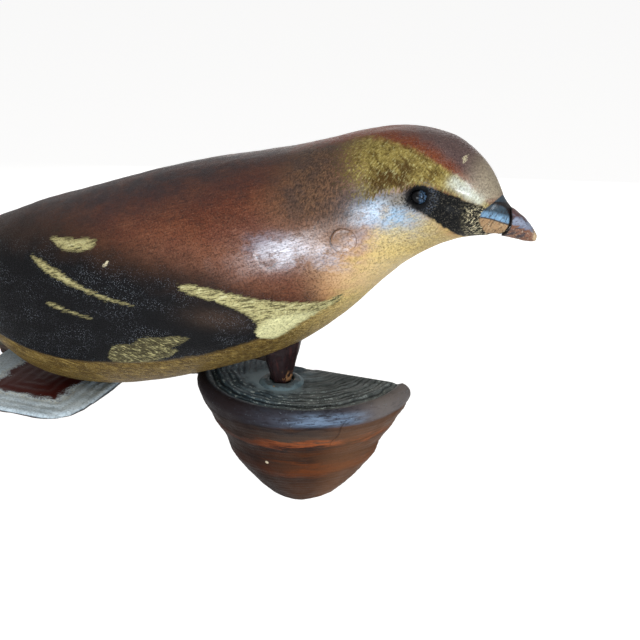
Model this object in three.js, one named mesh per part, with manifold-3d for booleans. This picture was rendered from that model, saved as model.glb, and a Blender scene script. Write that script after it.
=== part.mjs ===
// Carved wooden songbird that stands by one peg on a shelf fungus, made to hang on a wall.
// Millimetres, +Z up. +X is the way the bird faces, the wall is the plane y = 0 and the front is -Y.
// The origin is on the flat back of the branch, midway between its two hangers.
import * as THREE from 'three';
import { mergeVertices } from 'three/addons/utils/BufferGeometryUtils.js';
import Module from 'manifold-3d';

const wasm = await Module();
wasm.setup();

// Clearance between pieces that touch, and the extra depth of a blind hole
const gap = 0.3;
const holeSpare = 0.5;

// Half round branch with its flat side to the wall
const branchLeft = 57;
const branchRight = 46.5;
const branchDepth = 21.5;
const branchUp = 6.4;
const branchDownLeft = 12;
const branchDownRight = 5;
const branchFullness = 2.3;
const branchEndSlant = 6;
const branchEndWorn = 1.2;
const branchWaist = 2;
const branchWaistLeft = 1;
const branchWaistRight = 30;
const branchWaistRun = 7;

// Shelf fungus that carries the bird
const shelfX = 59;
const shelfRadius = 34.65;
const shelfTopAboveBranch = 8;
const shelfSeatDepth = 1.8;
const shelfHeight = 45.4;
const shelfLip = 3.2;
const shelfLipWidth = 4.6;
const shelfLipRise = 0.2;
const shelfGroove = 0.6;
const shelfGrooveWidth = 3.2;
const shelfApexShift = 2;

// Underside of the shelf fungus, as its radius at each depth below the top
const shelfSide = [
  [33, 7.4],
  [30.6, 11.2],
  [29.6, 13.8],
  [26.6, 18.2],
  [25.4, 21],
  [23.8, 25.4],
  [21.8, 28.6],
  [18.6, 32.8],
  [15, 37.2],
  [11.4, 41],
  [6, 44.4],
];

// Thin side fungus under the bird's rear
const sideToShelf = 59;
const sideWidth = 49;
const sideReach = 47;
const sideSquareness = 6;
const sideEdge = 2;
const sideThickness = 6;
const sideTaper = 9;
const sideSeatDepth = 2.2;

// Peg leg, with a tenon at each end
const legX = -3;
const legOut = 13;
const legHeight = 11.5;
const legShoulder = 4.5;
const legFootRadius = 3.1;
const legTopRadius = 6.9;
const legTenonRadius = 2.5;
const legTenonDepth = 14;
const legHeadRadius = 4;
const legHeadDepth = 22;
const fillerReach = 5;
const fillerHeight = 1.8;
const fillerTop = 0.5;

// Dowels between the branch and the two fungi
const dowelRadius = 2;
const dowelDepth = 9;
const dowelChamfer = 0.5;
const shelfDowelDrop = 8;
const shelfDowelFirst = 25;
const shelfDowelPitch = 10;
const sideDowelPitch = 20;
const sideDowelRadius = 1.2;
const sideDowelChamfer = 0.3;
const sideDowelDrop = 3;

// Eye beads, set half way into round sockets
const eyeRadius = 2.3;
const eyeForward = 47;
const eyeHeight = 56.9;
const eyeSunk = 1.2;

// Round plug let into the shoulder
const plugRadius = 3.3;
const plugDepth = 9;
const plugForward = 27.7;
const plugHeight = 44;
const plugProud = 0.1;

// Seam in the bill, in the bird's side view: a round along Y on the head's side of a slanting flat
const seamMiddle = [64.6, 49.3];
const seamRadius = 4.85;
const seamFlat = 2.45;
const seamSlant = 7.5;

// Sawtooth hangers, let into the back of the branch
const hangerSpan = 58;
const hangerWidth = 28;
const hangerTall = 7;
const hangerThickness = 0.8;
const hangerBelowWall = 0.9;
const hangerTeeth = 7;
const toothPitch = 2;
const toothHeight = 1.4;
const pocketDepth = 3;
const pocketWidth = 16;
const pocketTall = 5.6;
const nailRadius = 0.7;
const nailLength = 9;
const nailPoint = 2;
const nailHeadRadius = 1.6;
const nailHeadHeight = 0.7;
const nailGap = 0.1;
const nailFromEnd = 3.4;

// Bird's side view, measured from where the leg meets the belly. A tail row is its share of the tail's
// reach, its top, its bottom and its half width.
const tailReach = 140;
const tailRows = [
  [1, 11.6, 7.4, 10.6],
  [0.91, 16.8, 8, 11.4],
  [0.83, 22, 3.2, 13.4],
  [0.75, 27, -3.6, 16.8],
  [0.67, 32, -11, 20.8],
  [0.59, 36.7, -16.9, 24.3],
];

// From there to the end of the bill, each row is the top point, the bottom point and the half width
const birdRows = [
  ...tailRows.map(([share, top, bottom, half]) => [-share * tailReach, top, -share * tailReach, bottom, half]),
  [-69.7, 41.3, -69.7, -19.8, 26.5],
  [-52.1, 47.5, -52.1, -18.4, 27.8],
  [-37.9, 52.2, -37.9, -14.9, 28],
  [-24.1, 56.1, -24.1, -10.2, 27.8],
  [-10.6, 59.4, -10.6, -5, 27],
  [2.4, 62.4, 2.4, 1, 25.6],
  [15.1, 66.2, 15.1, 9.8, 23.6],
  [27.3, 70.1, 27.3, 21.2, 20.8],
  [39.1, 72, 39.1, 33.1, 17.8],
  [50.4, 70.7, 49, 39.8, 14.4],
  [56, 67.8, 53, 41.6, 12.4],
  [60.2, 64.6, 56, 42.7, 10],
  [63.4, 60.6, 58.5, 43.2, 7.6],
  [65.6, 56.7, 60.8, 43.5, 5.2],
  [68.1, 52.8, 66.3, 44.3, 3.4],
  [72.6, 49.9, 70.4, 43.7, 2.4],
  [75.2, 47, 73.9, 43.3, 1.3],
  [76.4, 45.1, 76, 43.6, 0.5],
];
const birdFullness = 2.15;

// How finely the curves are faceted
const rowSteps = 2;
const birdSides = 32;
const branchSides = 28;
const fungusSides = 56;
const roundSides = 28;
const smallSides = 14;

// Reach of a cutting shape beyond the piece that it trims
const far = 200;

const shelfBack = branchDepth - shelfSeatDepth + gap;
const sideBack = branchDepth - sideSeatDepth + gap;
const shelfTop = shelfTopAboveBranch;

// Colour, roughness and metalness of each material
const looks = {
  birdPaint: { color: 0x6b4a33, roughness: 0.5, metalness: 0 },
  billPaint: { color: 0x3a3f47, roughness: 0.35, metalness: 0 },
  bead: { color: 0x101216, roughness: 0.12, metalness: 0 },
  legStain: { color: 0x3a1f1c, roughness: 0.5, metalness: 0 },
  filler: { color: 0x6d7f82, roughness: 0.6, metalness: 0 },
  shelfFungus: { color: 0x4f4d46, roughness: 0.6, metalness: 0 },
  sideFungus: { color: 0x5d6470, roughness: 0.6, metalness: 0 },
  bark: { color: 0x4a3a2e, roughness: 0.85, metalness: 0 },
  dowelWood: { color: 0xc49a62, roughness: 0.7, metalness: 0 },
  steel: { color: 0x9a9ca0, roughness: 0.35, metalness: 1 },
};

// A closed geometry as a solid that can be joined and cut
function solid(geometry) {
  const bare = geometry.index ? geometry.clone() : geometry;
  bare.deleteAttribute('normal');
  bare.deleteAttribute('uv');
  const merged = mergeVertices(bare, 1e-4);
  const vertProperties = new Float32Array(merged.attributes.position.array);
  const corners = Array.from(merged.index.array);
  const triVerts = [];
  for (let i = 0; i < corners.length; i += 3) {
    const [a, b, c] = corners.slice(i, i + 3);
    if (a !== b && b !== c && c !== a) triVerts.push(a, b, c);
  }
  const mesh = new wasm.Mesh({ numProp: 3, vertProperties, triVerts: new Uint32Array(triVerts) });
  return new wasm.Manifold(mesh);
}

// The triangles of a solid as a geometry
function geometryOf(body) {
  const { vertProperties, triVerts } = body.getMesh();
  const geometry = new THREE.BufferGeometry();
  geometry.setAttribute('position', new THREE.BufferAttribute(vertProperties, 3));
  geometry.setIndex(new THREE.BufferAttribute(triVerts, 1));
  geometry.computeVertexNormals();
  return geometry;
}

function cut(geometry, ...cutters) {
  return geometryOf(cutters.reduce((body, cutter) => body.subtract(solid(cutter)), solid(geometry)));
}

function common(first, second) {
  return geometryOf(solid(first).intersect(solid(second)));
}

function piece(name, geometry, look) {
  const mesh = new THREE.Mesh(geometry, new THREE.MeshStandardMaterial(looks[look]));
  mesh.name = name;
  return mesh;
}

// A box given by its two far corners
function boxBetween(low, high) {
  const size = high.map((value, i) => value - low[i]);
  const middle = high.map((value, i) => (value + low[i]) / 2);
  return new THREE.BoxGeometry(...size).translate(...middle);
}

// A solid of revolution about Z from [radius, height] points that start and end on the axis
function turned(profile, sides) {
  const upward = profile.at(-1)[1] < profile[0][1] ? [...profile].reverse() : profile;
  const points = upward.map(([radius, height]) => new THREE.Vector2(radius, height));
  return new THREE.LatheGeometry(points, sides).rotateX(Math.PI / 2);
}

// A round rod along Y from front to back with chamfered ends
function rodAlongY(radius, front, back, chamfer = 0, sides = roundSides) {
  const profile = [
    [0, 0],
    [radius - chamfer, 0],
    [radius, chamfer],
    [radius, back - front - chamfer],
    [radius - chamfer, back - front],
    [0, back - front],
  ];
  return turned(profile, sides).rotateX(-Math.PI / 2).translate(0, front, 0);
}

// A skin through closed rings of the same count, with a fan over each end
function loft(rings) {
  const count = rings[0].length;
  const positions = rings.flat().flatMap((point) => point.toArray());
  const faces = [];
  for (let r = 0; r + 1 < rings.length; r += 1) {
    for (let k = 0; k < count; k += 1) {
      const a = r * count + k;
      const b = r * count + ((k + 1) % count);
      faces.push(a, b, a + count, b, b + count, a + count);
    }
  }
  const closeEnd = (row, backwards) => {
    const middle = new THREE.Vector3();
    rings[row].forEach((point) => middle.add(point));
    positions.push(...middle.divideScalar(count).toArray());
    const centre = positions.length / 3 - 1;
    for (let k = 0; k < count; k += 1) {
      const edge = [row * count + k, row * count + ((k + 1) % count)];
      faces.push(...(backwards ? edge.reverse() : edge), centre);
    }
  };
  closeEnd(0, true);
  closeEnd(rings.length - 1, false);
  const geometry = new THREE.BufferGeometry();
  geometry.setAttribute('position', new THREE.Float32BufferAttribute(positions, 3));
  geometry.setIndex(faces);
  return geometry;
}

const power = (value, exponent) => Math.sign(value) * Math.abs(value) ** exponent;

// One ring of the bird: a full oval between its top and bottom points, in the plane that holds both
function birdRing([topX, topZ, bottomX, bottomZ, halfWidth]) {
  const middle = new THREE.Vector3((topX + bottomX) / 2, 0, (topZ + bottomZ) / 2);
  const up = new THREE.Vector3(topX, 0, topZ).sub(middle);
  const ring = [];
  for (let k = 0; k < birdSides; k += 1) {
    const turn = (2 * Math.PI * k) / birdSides;
    const point = up.clone().multiplyScalar(power(Math.cos(turn), 2 / birdFullness));
    point.y = -halfWidth * power(Math.sin(turn), 2 / birdFullness);
    ring.push(point.add(middle));
  }
  return ring;
}

// The rows with more rows between them, on a smooth curve through each column
function smoothRows(rows) {
  const curve = (points) => new THREE.CatmullRomCurve3(points, false, 'centripetal');
  const tops = curve(rows.map((row) => new THREE.Vector3(row[0], 0, row[1])));
  const bottoms = curve(rows.map((row) => new THREE.Vector3(row[2], row[4], row[3])));
  const total = (rows.length - 1) * rowSteps;
  return Array.from({ length: total + 1 }, (_, i) => {
    const top = tops.getPoint(i / total);
    const bottom = bottoms.getPoint(i / total);
    return [top.x, top.z, bottom.x, bottom.z, bottom.y];
  });
}

// Where a line from the front, along +Y, first meets a geometry
function frontPoint(geometry, x, z) {
  const probe = new THREE.Mesh(geometry, new THREE.MeshBasicMaterial({ side: THREE.DoubleSide }));
  const ray = new THREE.Raycaster(new THREE.Vector3(x, -far, z), new THREE.Vector3(0, 1, 0));
  const hit = ray.intersectObject(probe)[0];
  return { point: hit.point, outward: hit.face.normal.clone() };
}

const mirrorY = ({ point, outward }) => ({
  point: new THREE.Vector3(point.x, -point.y, point.z),
  outward: new THREE.Vector3(outward.x, -outward.y, outward.z),
});

// The shelf fungus's frame: the middle of the straight back edge of its top
const shelf = new THREE.Group();
shelf.position.set(shelfX, -shelfBack, shelfTop);

// The bird's frame: where the leg meets the belly
const bird = new THREE.Group();
bird.position.set(legX, -legOut, legHeight);

// Leg: its foot rests on the shelf, its wide top is sunk into the belly, and a tenon runs on at each end
function legShape(grow) {
  return turned([
    [0, -legTenonDepth - grow],
    [legTenonRadius + grow, -legTenonDepth - grow],
    [legTenonRadius + grow, gap - grow],
    [legFootRadius + grow, gap - grow],
    [legTopRadius + grow, legHeight + legShoulder + grow],
    [legHeadRadius + grow, legHeight + legShoulder + grow],
    [legHeadRadius + grow, legHeight + legHeadDepth + grow],
    [0, legHeight + legHeadDepth + grow],
  ], roundSides).translate(legX, -legOut, 0);
}

shelf.add(piece('leg_peg', legShape(0), 'legStain'));

// Filler packed round the foot of the leg
const legWiden = (legTopRadius - legFootRadius) / (legHeight + legShoulder);
const footAt = (height) => legFootRadius + legWiden * height + gap;
const filler = turned([
  [footAt(gap), gap],
  [footAt(gap) + fillerReach, gap],
  [footAt(gap) + fillerReach / 2 + fillerTop, gap + fillerHeight / 2],
  [footAt(fillerHeight) + fillerTop, fillerHeight],
  [footAt(fillerHeight), fillerHeight],
  [footAt(gap), gap],
], roundSides).translate(legX, -legOut, 0);
shelf.add(piece('foot_filler', filler, 'filler'));

// Shelf fungus: flat top with a groove inside a rounded lip, and a bowl-shaped underside
const lipInside = shelfRadius - shelfLipWidth;
const lipCorner = [1, 2, 3].map((step) => {
  const turn = (step * Math.PI) / 6;
  const run = shelfRadius - shelfLip + shelfLip * Math.sin(turn);
  return [run, shelfLipRise - (shelfLip + shelfLipRise) * (1 - Math.cos(turn))];
});
const shelfProfile = [
  [0, 0],
  [lipInside - shelfGrooveWidth / 2, 0],
  [lipInside, -shelfGroove],
  [lipInside + shelfGrooveWidth / 2, shelfLipRise],
  ...lipCorner,
  ...shelfSide.map(([radius, drop]) => [radius, -drop]),
  [0, -shelfHeight],
];

// The underside leans a little, so its lowest point lies to one side
function leanUnderside(geometry) {
  const place = geometry.attributes.position;
  for (let i = 0; i < place.count; i += 1) {
    const depth = Math.max(0, -place.getZ(i) - shelfLip);
    place.setX(i, place.getX(i) - (shelfApexShift * depth) / (shelfHeight - shelfLip));
  }
  return geometry;
}

// Cuts for a row of dowels along Y at the same height, as deep into both pieces
function dowelHoles(places, radius, drop) {
  const reach = dowelDepth + holeSpare;
  return places.map((x) => rodAlongY(radius + gap, -reach, reach).translate(x, 0, -drop));
}

function addDowels(group, name, places, radius, chamfer, drop) {
  places.forEach((x, i) => {
    const dowel = piece(`${name}_${i + 1}`, rodAlongY(radius, -dowelDepth, dowelDepth, chamfer), 'dowelWood');
    dowel.position.set(x, 0, -drop);
    group.add(dowel);
  });
}

const behindBack = boxBetween([-far, 0, -far], [far, far, far]);
const shelfDowels = [-shelfDowelFirst, -shelfDowelFirst + shelfDowelPitch];
const shelfHoles = dowelHoles(shelfDowels, dowelRadius, shelfDowelDrop);
const shelfBowl = leanUnderside(turned(shelfProfile, fungusSides));
shelf.add(piece('shelf_fungus', cut(shelfBowl, behindBack, legShape(gap), ...shelfHoles), 'shelfFungus'));
addDowels(shelf, 'shelf_dowel', shelfDowels, dowelRadius, dowelChamfer, shelfDowelDrop);

// All that lies beyond the seam in the bill, with that clearance to it
function beyondSeam(clear) {
  const [x, z] = seamMiddle;
  const ahead = boxBetween([seamFlat + clear, -far, -far], [far, far, far])
    .rotateY((seamSlant * Math.PI) / 180)
    .translate(x, 0, z);
  return cut(ahead, rodAlongY(seamRadius + clear, -far, far).translate(x, 0, z));
}

// Bird's body, carved with the head from one block, and bored for the leg, the eyes and the plug
const bodySkin = loft(smoothRows(birdRows).map(birdRing));
const eyeSeat = frontPoint(bodySkin, eyeForward, eyeHeight);
const plugSeat = frontPoint(bodySkin, plugForward, plugHeight);

function eyeCentre({ point, outward }) {
  return point.clone().addScaledVector(outward, -eyeSunk);
}

// A round plug along a seat's outward line
function plugShape({ point, outward }, radius, depth, proud) {
  const rod = rodAlongY(radius, -proud, depth);
  const turn = new THREE.Quaternion().setFromUnitVectors(new THREE.Vector3(0, -1, 0), outward);
  return rod.applyQuaternion(turn).translate(point.x, point.y, point.z);
}

const eyeSeats = [['eye_right', eyeSeat], ['eye_left', mirrorY(eyeSeat)]];
const bead = (radius) => new THREE.SphereGeometry(radius, roundSides, smallSides);
const bodyCuts = [
  legShape(gap).translate(-legX, legOut, -legHeight),
  plugShape(plugSeat, plugRadius + gap, plugDepth + holeSpare, plugRadius),
  ...eyeSeats.map(([, seat]) => bead(eyeRadius + gap).translate(...eyeCentre(seat).toArray())),
  beyondSeam(0),
];
bird.add(piece('bird_body', cut(bodySkin, ...bodyCuts), 'birdPaint'));
for (const [name, seat] of eyeSeats) {
  const eye = piece(name, bead(eyeRadius), 'bead');
  eye.position.copy(eyeCentre(seat));
  bird.add(eye);
}
bird.add(piece('shoulder_plug', plugShape(plugSeat, plugRadius, plugDepth, plugProud), 'birdPaint'));

// Tip of the bill, glued on at the seam
bird.add(piece('bill_tip', common(bodySkin, beyondSeam(gap)), 'billPaint'));
shelf.add(bird);

// Branch section: a half oval with its flat side on the wall, fuller than an ellipse. The branch thins
// towards its right end on its lower side. Worn takes a little off the whole section, and slimmer takes
// some off its front and its lower side.
function branchSection(x, worn, slimmer) {
  const along = (x + branchLeft) / (branchRight + branchEndSlant + branchLeft);
  const branchDown = branchDownLeft + (branchDownRight - branchDownLeft) * along - slimmer;
  const ring = [];
  for (let k = 0; k <= branchSides; k += 1) {
    const turn = (Math.PI * k) / branchSides;
    const reach = power(Math.sin(turn), 2 / branchFullness) * (branchDepth - worn - slimmer);
    const half = (Math.cos(turn) > 0 ? branchUp : branchDown) - worn;
    ring.push(new THREE.Vector3(x, -reach, power(Math.cos(turn), 2 / branchFullness) * half));
  }
  return ring;
}

// Between the two fungi the branch has a slight waist
const branchSkin = loft([
  branchSection(-branchLeft, branchEndWorn, 0),
  branchSection(-branchLeft + branchEndWorn, 0, 0),
  branchSection(branchWaistLeft, 0, 0),
  branchSection(branchWaistLeft + branchWaistRun, 0, branchWaist),
  branchSection(branchWaistRight - branchWaistRun, 0, branchWaist),
  branchSection(branchWaistRight, 0, 0),
  branchSection(branchRight + branchEndSlant, 0, 0),
]);

// The right end is sawn off on a slant that runs back towards the left at the wall
const branchEndCut = boxBetween([0, -far, -far], [far, far, far])
  .rotateZ(Math.atan2(branchEndSlant, branchDepth))
  .translate(branchRight, 0, 0);

// Side fungus: flat on top, thin at its edge and thicker towards the branch
const birdLow = Math.min(...birdRows.map((row) => row[3]));
const sideTop = shelfTop + legHeight + birdLow - gap;
const sideHalf = sideWidth / 2;
const sideX = shelfX - sideToShelf - sideHalf;

// The round plan made squarer, and stretched to its reach from the branch
function squareOff(geometry) {
  const place = geometry.attributes.position;
  for (let i = 0; i < place.count; i += 1) {
    const x = place.getX(i);
    const y = place.getY(i);
    const angle = Math.atan2(y, x);
    const round = Math.abs(Math.cos(angle)) ** sideSquareness + Math.abs(Math.sin(angle)) ** sideSquareness;
    const grow = round ** (-1 / sideSquareness);
    place.setXY(i, x * grow, (y * grow * sideReach) / sideHalf);
  }
  return geometry;
}

const sideProfile = [
  [0, 0],
  [sideHalf - sideEdge / 2, 0],
  [sideHalf, -sideEdge / 2],
  [sideHalf - sideEdge / 2, -sideEdge],
  [sideHalf - sideTaper, -sideThickness],
  [0, -sideThickness],
];
const sideDowels = [-sideDowelPitch / 2, sideDowelPitch / 2];
const sideHoles = dowelHoles(sideDowels, sideDowelRadius, sideDowelDrop);
const sideBody = cut(squareOff(turned(sideProfile, fungusSides)), behindBack, ...sideHoles);
const side = new THREE.Group();
side.position.set(sideX, -sideBack, sideTop);
side.add(piece('side_fungus', sideBody, 'sideFungus'));
addDowels(side, 'side_dowel', sideDowels, sideDowelRadius, sideDowelChamfer, sideDowelDrop);

// Hanger: a thin strip with teeth along its lower edge, nailed at each end over a pocket
function hangerStrip() {
  const half = hangerWidth / 2;
  const lower = -hangerTall / 2;
  const outline = new THREE.Shape();
  outline.moveTo(-half, lower);
  outline.lineTo(-half, -lower);
  outline.lineTo(half, -lower);
  outline.lineTo(half, lower);
  for (let i = 0; i < hangerTeeth; i += 1) {
    const start = (hangerTeeth / 2 - i) * toothPitch;
    outline.lineTo(start, lower);
    outline.lineTo(start - toothPitch / 2, lower + toothHeight);
  }
  outline.lineTo((-hangerTeeth / 2) * toothPitch, lower);
  const strip = new THREE.ExtrudeGeometry(outline, { depth: hangerThickness, bevelEnabled: false });
  return strip.rotateX(Math.PI / 2);
}

// Nail along Y: its head is towards the wall, with the underside of the head at y = 0
function nailShape(grow) {
  return turned([
    [0, -nailLength - grow],
    [nailRadius + grow, -nailLength + nailPoint - grow],
    [nailRadius + grow, 0],
    [nailHeadRadius + grow, 0],
    [nailHeadRadius + grow, nailHeadHeight],
    [0, nailHeadHeight],
  ], smallSides).rotateX(-Math.PI / 2);
}

const hangerSides = [['right', 1], ['left', -1]];
const nailPlaces = [-1, 1].map((end) => end * (hangerWidth / 2 - nailFromEnd));
const recessFloor = -hangerBelowWall - hangerThickness - nailGap;

// What one hanger takes out of the branch: its recess, the pocket behind its teeth and its nail holes
function hangerCuts(x) {
  const half = hangerWidth / 2 + gap;
  const tall = hangerTall / 2 + gap;
  const recess = boxBetween([-half, recessFloor, -tall], [half, 1, tall]);
  const pocket = boxBetween([-pocketWidth / 2, recessFloor - pocketDepth, -pocketTall / 2],
    [pocketWidth / 2, 1, pocketTall / 2]);
  const nails = nailPlaces.map((place) => nailShape(nailGap).translate(place, -hangerBelowWall, 0));
  return [recess, pocket, ...nails].map((cutter) => cutter.translate(x, 0, 0));
}

const hangers = new THREE.Group();
for (const [hand, sign] of hangerSides) {
  const hanger = new THREE.Group();
  hanger.position.x = (sign * hangerSpan) / 2;
  const strip = cut(hangerStrip().translate(0, -hangerBelowWall, 0),
    ...nailPlaces.map((place) => nailShape(nailGap).translate(place, -hangerBelowWall + nailGap, 0)));
  hanger.add(piece(`hanger_${hand}`, strip, 'steel'));
  nailPlaces.forEach((place, i) => {
    const nail = piece(`hanger_nail_${hand}_${i + 1}`, nailShape(0), 'steel');
    nail.position.set(place, -hangerBelowWall + nailGap, 0);
    hanger.add(nail);
  });
  hangers.add(hanger);
}

// The branch's two seats are flats for the backs of the fungi
const shelfSeat = boxBetween([-shelfRadius - gap, -far, -far], [far, gap, far])
  .translate(shelfX, -shelfBack, shelfTop);
const sideSeat = boxBetween([-sideHalf - gap, -far, -far], [sideHalf + gap, gap, far])
  .translate(sideX, -sideBack, sideTop);
const branchHoles = [
  ...shelfHoles.map((hole) => hole.clone().translate(shelfX, -shelfBack, shelfTop)),
  ...sideHoles.map((hole) => hole.clone().translate(sideX, -sideBack, sideTop)),
];
const branchBody = cut(
  branchSkin,
  branchEndCut,
  shelfSeat,
  sideSeat,
  ...branchHoles,
  ...hangerSides.flatMap(([, sign]) => hangerCuts((sign * hangerSpan) / 2)),
);

const carving = new THREE.Group();
carving.add(piece('wall_branch', branchBody, 'bark'), shelf, side, hangers);
export default carving;
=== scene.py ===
"""Painted wooden songbird that stands by one peg on a shelf fungus, made to hang on a wall.

Lengths are in millimetres and become metres in the meshes. +X is the way the bird faces, the wall is the
plane y = 0 and the front is -Y.
"""
import math

import bmesh
import bpy
import numpy as np
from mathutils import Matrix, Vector, noise


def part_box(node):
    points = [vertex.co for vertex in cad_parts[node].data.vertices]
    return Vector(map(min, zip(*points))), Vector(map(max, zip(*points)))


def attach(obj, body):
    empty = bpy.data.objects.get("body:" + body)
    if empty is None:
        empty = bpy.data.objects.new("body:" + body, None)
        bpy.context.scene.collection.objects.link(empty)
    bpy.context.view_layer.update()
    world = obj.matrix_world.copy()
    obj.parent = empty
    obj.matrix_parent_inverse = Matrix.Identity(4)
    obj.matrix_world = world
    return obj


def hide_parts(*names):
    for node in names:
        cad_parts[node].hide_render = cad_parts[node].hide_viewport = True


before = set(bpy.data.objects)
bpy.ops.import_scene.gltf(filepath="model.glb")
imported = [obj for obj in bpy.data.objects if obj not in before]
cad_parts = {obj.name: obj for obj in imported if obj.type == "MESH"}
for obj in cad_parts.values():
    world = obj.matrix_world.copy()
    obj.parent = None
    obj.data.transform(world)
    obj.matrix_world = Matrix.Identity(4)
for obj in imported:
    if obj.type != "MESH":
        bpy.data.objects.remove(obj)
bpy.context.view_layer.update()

MM = 0.001


def corners(node):
    """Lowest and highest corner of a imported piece, in mm."""
    low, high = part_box(node)
    return np.array(low) / MM, np.array(high) / MM


def front_end(node):
    """Middle of the front end of a packed rod, in mm."""
    points = np.array([vertex.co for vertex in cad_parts[node].data.vertices]) / MM
    return points[points[:, 1] < points[:, 1].mean()].mean(axis=0)


# The bird's mid-plane, its eyes and its plug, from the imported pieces
bird_low, bird_high = corners("bird_body")
bird_middle = (bird_low[1] + bird_high[1]) / 2
eye_centre = sum(corners("eye_right")) / 2
eye_side = bird_middle - eye_centre[1]
plug_centre = sum(corners("shoulder_plug")) / 2
plug_face = front_end("shoulder_plug")
leg_low, leg_high = corners("leg_peg")
leg_centre = (leg_low + leg_high) / 2
shelf_low, shelf_high = corners("shelf_fungus")
shelf_x = (shelf_low[0] + shelf_high[0]) / 2
shelf_back = shelf_high[1]
shelf_top = shelf_high[2]
side_low, side_high = corners("side_fungus")

# Painted outlines of the bird as x and z on its flank, the same on both sides
WING_EDGE = [
    (-84, 29), (-60, 27), (-38, 20), (-15, 15.6), (0, 15.3), (23, 18.1), (36, 21.4), (48, 25.6), (67, 35),
    (80, 44.6),
]
WING_TOP = [
    (-84, 33), (-60, 41), (-38, 47), (-15, 51), (3, 51), (27, 48), (47, 45.6), (58, 44), (80, 44),
]
BREAST_TOP = [
    (66, 40), (71.5, 42.5), (77, 45.5), (82.4, 49.5), (86, 54), (89, 58.5), (91, 62.5), (93, 66),
    (95.9, 68.5), (99.8, 70.1), (103.6, 71.6), (108.4, 68.1), (111.2, 64.1), (120, 60),
]
CROWN_EDGE = [
    (60, 82.3), (77, 87), (86, 89.2), (94, 89.2), (102, 87.4), (107.5, 84.8), (112.3, 81.8), (116, 78.1),
    (120, 73.5),
]
BROW_EDGE = [
    (78, 75), (84, 74.6), (88, 74.4), (91, 76), (94, 77.6), (98, 78.5), (103, 79.7), (106, 79.3), (111, 77.2),
    (117.5, 73.6), (120, 72),
]
MASK_EDGE = [(97.5, 77.4), (100, 74.6), (104, 72), (108.4, 68.5), (111.4, 65.2), (113.5, 63.4), (122, 62)]
FEATHER_LINE = [(60.5, 120.5), (65.2, 118.6), (68.7, 117.4), (71.4, 118), (73.4, 120.2), (75.2, 122.2)]
BILL_MIDDLE = [(116, 70), (120.3, 69.2), (123, 68.4), (128, 66.8), (134, 64.4)]
MARK_WING = [
    (35.6, 46), (40, 47), (47.4, 46.2), (56, 45), (64.4, 44), (71, 43.9), (77, 43.9), (81.5, 45.4),
    (77.7, 41.4), (73, 38.4), (68.3, 35), (64.6, 31.9), (61, 30), (57.8, 30.6), (57.2, 32.6), (58.4, 35.6),
    (56.9, 38.1), (54.2, 39.9), (49.9, 41.7), (43.5, 43.2), (37.6, 44.6),
]
MARK_LOBE = [(57.8, 30.6), (57.6, 33), (62, 37.6), (69, 39.6), (74, 39.6), (68, 34.8), (62, 30.4)]
MARK_PATCH = [
    (10.4, 18), (11.6, 21.6), (13.4, 23.6), (20, 25), (22.4, 27.4), (28.7, 28.3), (37.6, 29.5), (34.6, 27),
    (30.6, 24.8), (33.2, 24.2), (29.9, 21.4), (23.6, 18.6), (15, 17.2),
]
MARK_QUILL = [
    (-16, 47), (-6, 44.8), (3.5, 41.5), (8.7, 40.4), (13.8, 39.3), (21.4, 38.1), (14, 38.2), (8.7, 39.3),
    (3.5, 40.2), (-9, 43.2),
]
MARK_FLECK = [(-10, 52.6), (0, 54), (4.4, 54.8), (7.4, 54.6), (6.5, 52.6), (3.7, 51.3), (-4, 50.4)]
MARK_SMALL = [(-8, 34.6), (0, 33.2), (6.8, 32), (6.2, 31.5), (0, 32.2), (-8, 33.6)]
MARK_TAIL = [(-62, 32.4), (-50, 34), (-36, 34.4), (-28, 32.6), (-38, 31.2), (-52, 30.4)]
MARKS = (MARK_WING, MARK_PATCH, MARK_QUILL, MARK_FLECK, MARK_SMALL, MARK_TAIL)

# The bill's end has a round seam, whose round meets the body's highest x
SEAM_RADIUS = 4.85
SEAM_MIDDLE = (bird_high[0] - SEAM_RADIUS, 68.8)

# A knot ring and a hairline crack in the wood of the shoulder, and a small pit behind the eye
KNOT = [(59.6, 57.4), (61.3, 55.3), (63.7, 54.3), (65.9, 56.3)]
HAIRLINE = [(76.7, 68.6), (76, 66.7), (75.5, 65.8)]
PIT = (93.8, 77.2)

# Spots where the paint has flaked off to the pale ground
FLAKES = ([(12.6, 49.8), (12, 49), (11.3, 48.3)], [(112.6, 86), (112.8, 85.2)])

# Painted highlight: a pale sheen on the brow towards the bill
BROW_SHEEN = [(111.5, 80.6), (114.2, 78.6), (117.4, 75.4)]

# Where handling has rubbed the varnish glossy, and where a pale painted sheen is laid on the paint, as x, z,
# half length, half height and share
POLISH_AND_SHEEN = (
    (66, 59.5, 15, 7, 0.95), (81, 58, 8, 5.5, 1.15), (92, 70, 8, 6, 0.7), (88, 63, 8, 5, 0.75),
    (36, 56, 18, 5, 0.2), (92, 55, 14, 9, 0.5), (104, 65, 10, 5, 0.5), (114.5, 78, 4, 3, 0.7),
    (121, 68, 5, 5, 0.7),
)

# Soft patches, as x, z, half length and half height: worn paint, painted sheens on the cheek and at the front
# of the shoulder, and paler paint behind the eye
PATCHES = {
    "worn_patch": (47, 37, 9, 3.4),
    "cheek": (96, 72, 8, 5.6),
    "glow": (84, 53, 8, 9),
    "by_eye": (97.5, 75.6, 4.5, 2.8),
}

# How far the bird's pockets for a bead and for the plug reach from their centres
SOCKET_REACH = 2.75
PLUG_REACH = 7

# The plug's painted ring, and how much wider it is made to fill its hole
PLUG_RING = 3.55
FILLS_HOLE = np.array([1.09, 1.0, 1.09])

# The beads are a little flattened, and sunk by this much
BEAD_SHAPE = (0.97, 0.9, 0.92)
BEAD_SUNK = 0.55


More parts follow.
